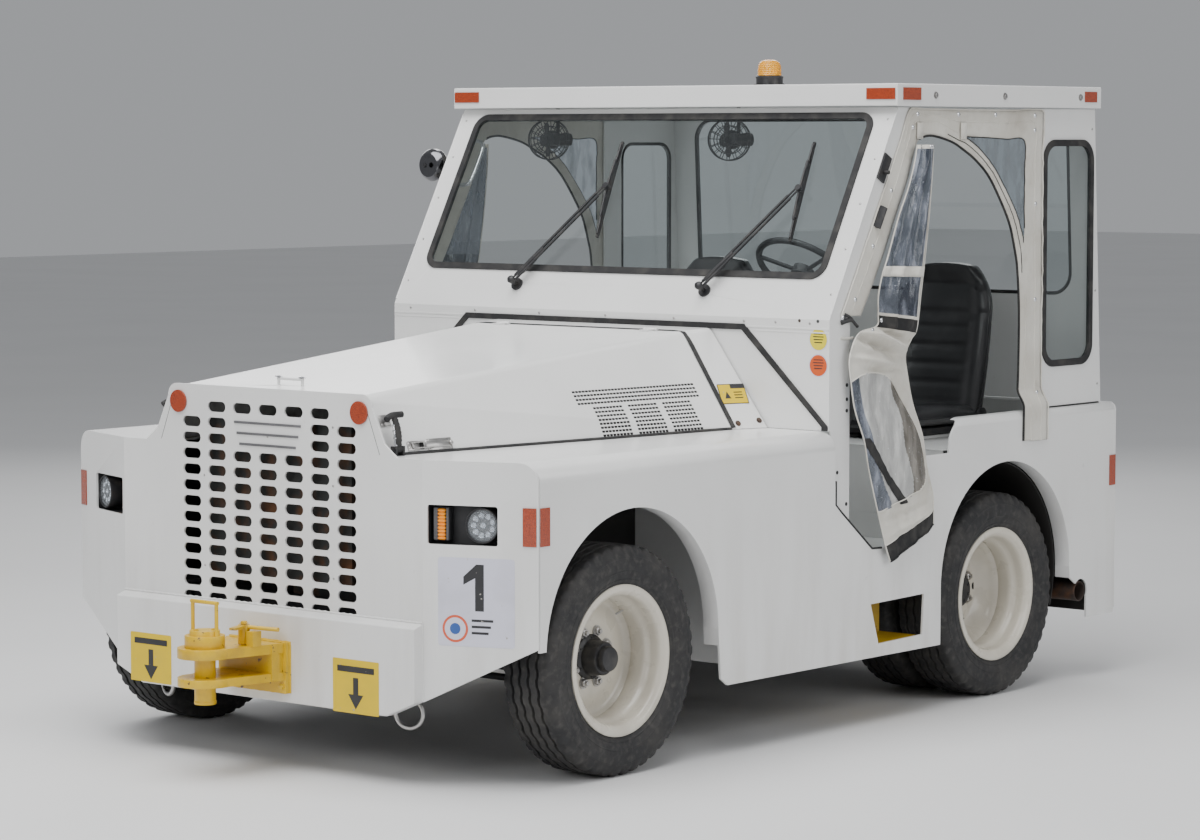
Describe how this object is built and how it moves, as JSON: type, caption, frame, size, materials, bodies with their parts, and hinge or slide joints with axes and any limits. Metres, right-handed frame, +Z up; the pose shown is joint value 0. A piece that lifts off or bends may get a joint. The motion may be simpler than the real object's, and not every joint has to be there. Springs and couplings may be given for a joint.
{
  "type": "tow tractor",
  "caption": "Cab-type tow tractor: ladder frame, steered front axle, twin rear wheels, opening hood, wipers and pin hitches at both ends. Pulls or pushes carts and aircraft.",
  "frame": {"origin": "point on the ground midway between the two front wheels' contact patches, directly below the front axle's centre", "axes": "+Z up, -Y towards the nose, +X towards the driver's (left) side"},
  "size_m": [2.3285, 4.308, 2.3885],
  "materials": {
    "cream_paint": "gloss white paint, slightly warm",
    "frame_paint": "satin black chassis paint",
    "engine_iron": "dull cast iron",
    "window_glass": "clear flat glass",
    "rubber_seal": "matte black rubber",
    "cab_plastic": "moulded black plastic",
    "lamp_lens": "clear lens over lamp elements",
    "reflector_plastic": "moulded prismatic reflector",
    "black_metal": "satin black coating",
    "beacon_amber": "clear amber plastic",
    "rusty_steel": "heat-stained rusty steel",
    "hitch_yellow": "thick brushed yellow paint",
    "door_fabric": "off-white coated fabric",
    "tyre_rubber": "ribbed truck tyre",
    "wheel_paint": "cream gloss paint",
    "seat_vinyl": "black grained vinyl",
    "mirror_chrome": "polished chrome shell"
  },
  "bodies": {
    "chassis": {"frame_rails": "frame_paint", "front_shield": "cream_paint", "bumper": "cream_paint", "side_panel_left": "cream_paint", "side_panel_right": "cream_paint", "rear_panel": "cream_paint", "inner_structure": "cream_paint", "cowl_bridge": "cream_paint", "cab_front": "cream_paint", "cab_rear": "cream_paint", "roof": "cream_paint", "cab_glass": "window_glass", "window_seals": "rubber_seal", "dashboard": "cab_plastic", "powertrain": "engine_iron", "under_floor_tanks": "frame_paint", "front_axle": "frame_paint", "rear_axle": "frame_paint", "lamp_pods": "cab_plastic", "lamp_lenses": "lamp_lens", "reflectors": "reflector_plastic", "black_fittings": "black_metal", "beacon_lens": "beacon_amber", "exhaust_pipe": "rusty_steel", "hitch_front": "hitch_yellow", "hitch_rear": "hitch_yellow", "side_steps": "hitch_yellow", "door_surrounds": "door_fabric", "door_flaps": "door_fabric"},
    "hood": {"hood": "cream_paint"},
    "hood_latch_left": {"hood_latch_left": "rubber_seal"},
    "hood_latch_right": {"hood_latch_right": "rubber_seal"},
    "knuckle_left": {"knuckle_left": "frame_paint"},
    "knuckle_right": {"knuckle_right": "frame_paint"},
    "tie_rod": {"tie_rod": "frame_paint"},
    "front_wheel_left": {"tyre_front_left": "tyre_rubber", "wheel_front_left": "wheel_paint"},
    "front_wheel_right": {"tyre_front_right": "tyre_rubber", "wheel_front_right": "wheel_paint"},
    "rear_wheels_left": {"tyres_rear_left": "tyre_rubber", "wheels_rear_left": "wheel_paint"},
    "rear_wheels_right": {"tyres_rear_right": "tyre_rubber", "wheels_rear_right": "wheel_paint"},
    "steering_wheel": {"steering_wheel": "cab_plastic"},
    "horn_button": {"horn_button": "cab_plastic"},
    "wiper_arm_left": {"wiper_arm_left": "black_metal"},
    "wiper_arm_right": {"wiper_arm_right": "black_metal"},
    "wiper_blade_left": {"wiper_blade_left": "black_metal"},
    "wiper_blade_right": {"wiper_blade_right": "black_metal"},
    "hitch_pin_front": {"hitch_pin_front": "hitch_yellow"},
    "hitch_pin_rear": {"hitch_pin_rear": "hitch_yellow"},
    "hitch_lever": {"hitch_lever": "hitch_yellow"},
    "driver_seat": {"driver_seat": "seat_vinyl"},
    "passenger_seat": {"passenger_seat": "seat_vinyl"},
    "brake_pedal": {"brake_pedal": "black_metal"},
    "accelerator_pedal": {"accelerator_pedal": "black_metal"},
    "gear_lever": {"gear_lever": "cab_plastic"},
    "mirror_head": {"mirror_head": "mirror_chrome"},
    "cab_fan_left": {"cab_fan_left": "cab_plastic"},
    "cab_fan_right": {"cab_fan_right": "cab_plastic"}
  },
  "joints": [
    {"name": "hood_hinge", "type": "hinge", "parent": "chassis", "child": "hood", "pos_m": [0, 0.996, 1.402], "axis": [-1, 0, 0], "range_deg": [0, 50]},
    {"name": "latch_left_swing", "type": "hinge", "parent": "chassis", "child": "hood_latch_left", "pos_m": [0.532, -0.53, 1.084], "axis": [0, 1, 0], "range_deg": [0, 85]},
    {"name": "latch_right_swing", "type": "hinge", "parent": "chassis", "child": "hood_latch_right", "pos_m": [-0.532, -0.53, 1.084], "axis": [0, -1, 0], "range_deg": [0, 85]},
    {"name": "steering_turn", "type": "hinge", "parent": "chassis", "child": "steering_wheel", "pos_m": [0.56, 1.63, 1.6], "axis": [0, 0.6428, 0.766], "range_deg": [-450, 450]},
    {"name": "horn_press", "type": "slide", "parent": "steering_wheel", "child": "horn_button", "axis": [0, -0.6428, -0.766], "range_m": [0, 0.004], "stiffness_N_per_m": 600, "springref_m": -0.004},
    {"name": "steer_left", "type": "hinge", "parent": "chassis", "child": "knuckle_left", "pos_m": [0.775, 0, 0.3825], "axis": [0, 0, 1], "range_deg": [-31, 31]},
    {"name": "steer_right", "type": "hinge", "parent": "chassis", "child": "knuckle_right", "pos_m": [-0.775, 0, 0.3825], "axis": [0, 0, 1], "range_deg": [-31, 31]},
    {"name": "tie_rod_slide", "type": "slide", "parent": "chassis", "child": "tie_rod", "axis": [1, 0, 0], "range_m": [-0.08, 0.08]},
    {"name": "front_left_spin", "type": "hinge", "parent": "knuckle_left", "child": "front_wheel_left", "pos_m": [0.94, 0, 0.3825], "axis": [1, 0, 0], "continuous": true},
    {"name": "front_right_spin", "type": "hinge", "parent": "knuckle_right", "child": "front_wheel_right", "pos_m": [-0.94, 0, 0.3825], "axis": [1, 0, 0], "continuous": true},
    {"name": "rear_left_spin", "type": "hinge", "parent": "chassis", "child": "rear_wheels_left", "pos_m": [0.799, 2.24, 0.3825], "axis": [1, 0, 0], "continuous": true},
    {"name": "rear_right_spin", "type": "hinge", "parent": "chassis", "child": "rear_wheels_right", "pos_m": [-0.799, 2.24, 0.3825], "axis": [1, 0, 0], "continuous": true},
    {"name": "wiper_sweep", "type": "hinge", "parent": "chassis", "child": "wiper_arm_left", "pos_m": [0.447, 1.18682, 1.53695], "axis": [0, 0.8758, -0.4826], "range_deg": [-72, 0]},
    {"name": "wiper_sweep_right", "type": "hinge", "parent": "chassis", "child": "wiper_arm_right", "pos_m": [-0.447, 1.18682, 1.53695], "axis": [0, 0.8758, -0.4826], "range_deg": [-72, 0]},
    {"name": "blade_tilt_left", "type": "hinge", "parent": "wiper_arm_left", "child": "wiper_blade_left", "pos_m": [0.74089, 1.38205, 1.89123], "axis": [0, 0.8758, -0.4826], "range_deg": [0, 72]},
    {"name": "blade_tilt_right", "type": "hinge", "parent": "wiper_arm_right", "child": "wiper_blade_right", "pos_m": [-0.15311, 1.38205, 1.89123], "axis": [0, 0.8758, -0.4826], "range_deg": [0, 72]},
    {"name": "front_pin_lift", "type": "slide", "parent": "chassis", "child": "hitch_pin_front", "axis": [0, 0, 1], "range_m": [0, 0.13]},
    {"name": "rear_pin_lift", "type": "slide", "parent": "chassis", "child": "hitch_pin_rear", "axis": [0, 0, 1], "range_m": [0, 0.13]},
    {"name": "pin_lock_turn", "type": "hinge", "parent": "chassis", "child": "hitch_lever", "pos_m": [0.055, -0.76, 0.489], "axis": [0, 0, 1], "range_deg": [-45, 0]},
    {"name": "driver_seat_slide", "type": "slide", "parent": "chassis", "child": "driver_seat", "axis": [0, 1, 0], "range_m": [-0.075, 0.075]},
    {"name": "passenger_seat_slide", "type": "slide", "parent": "chassis", "child": "passenger_seat", "axis": [0, 1, 0], "range_m": [-0.075, 0.075]},
    {"name": "brake_press", "type": "hinge", "parent": "chassis", "child": "brake_pedal", "pos_m": [0.49, 1.25, 0.98], "axis": [-1, 0, 0], "range_deg": [0, 20], "stiffness_Nm_per_rad": 12, "springref_deg": -17.19},
    {"name": "accelerator_press", "type": "hinge", "parent": "chassis", "child": "accelerator_pedal", "pos_m": [0.65, 1.25, 0.98], "axis": [-1, 0, 0], "range_deg": [0, 15], "stiffness_Nm_per_rad": 8, "springref_deg": -17.19},
    {"name": "gear_shift", "type": "hinge", "parent": "chassis", "child": "gear_lever", "pos_m": [0.22, 1.55, 0.646], "axis": [1, 0, 0], "range_deg": [-15, 15]},
    {"name": "mirror_swivel", "type": "hinge", "parent": "chassis", "child": "mirror_head", "pos_m": [-1.087, 1.49, 1.98], "axis": [0, 0, 1], "range_deg": [-15, 10]},
    {"name": "cab_fan_left_spin", "type": "hinge", "parent": "chassis", "child": "cab_fan_left", "pos_m": [0.205, 1.64, 2.08], "axis": [0.4226, 0.9063, 0], "continuous": true},
    {"name": "cab_fan_right_spin", "type": "hinge", "parent": "chassis", "child": "cab_fan_right", "pos_m": [-0.68, 1.64, 2.08], "axis": [0.4226, 0.9063, 0], "continuous": true}
  ],
  "couplings": [
    {"joint": "steer_left", "follows": "steering_turn", "ratio": 0.066667},
    {"joint": "steer_right", "follows": "steering_turn", "ratio": 0.066667},
    {"joint": "tie_rod_slide", "follows": "steering_turn", "m_per_rad": -0.01},
    {"joint": "wiper_sweep_right", "follows": "wiper_sweep", "ratio": 1},
    {"joint": "blade_tilt_left", "follows": "wiper_sweep", "ratio": -1},
    {"joint": "blade_tilt_right", "follows": "wiper_sweep", "ratio": -1}
  ]
}
